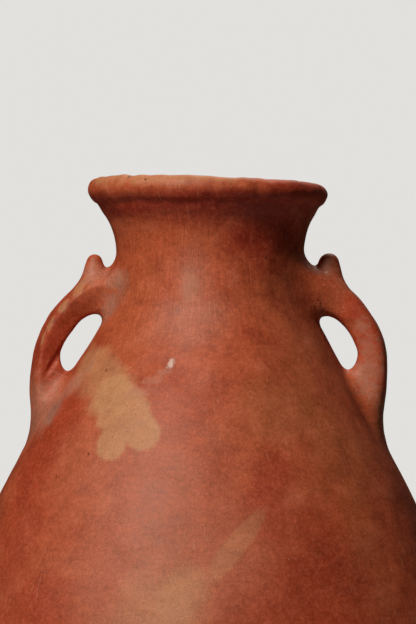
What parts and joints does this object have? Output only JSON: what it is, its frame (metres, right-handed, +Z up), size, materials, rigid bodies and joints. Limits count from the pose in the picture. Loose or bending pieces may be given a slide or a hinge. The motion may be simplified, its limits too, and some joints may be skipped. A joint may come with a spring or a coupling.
{
  "type": "amphora",
  "caption": "Egg-shaped red earthenware storage jar with a short neck, a thick flared lip and two loop handles on the shoulder, each with a thumb knob.",
  "frame": {"origin": "centre of the flat underside", "axes": "+Z up along the axis of the jar, +X towards the stouter handle, +Y away from the side that faces the viewer"},
  "size_m": [0.3154, 0.3154, 0.541],
  "materials": {
    "burnished_clay": "satin",
    "rim_clay": "satin",
    "handle_clay": "satin",
    "foot_clay": "matte"
  },
  "bodies": {
    "root": {"base_disc": "foot_clay", "foot_course": "burnished_clay", "lower_course": "burnished_clay", "belly_course": "burnished_clay", "shoulder_course": "burnished_clay", "collar_course": "burnished_clay", "neck": "burnished_clay", "lip_coil": "rim_clay", "left_handle": "handle_clay", "left_thumb_knob": "handle_clay", "right_handle": "handle_clay", "right_thumb_knob": "handle_clay"}
  },
  "joints": []
}
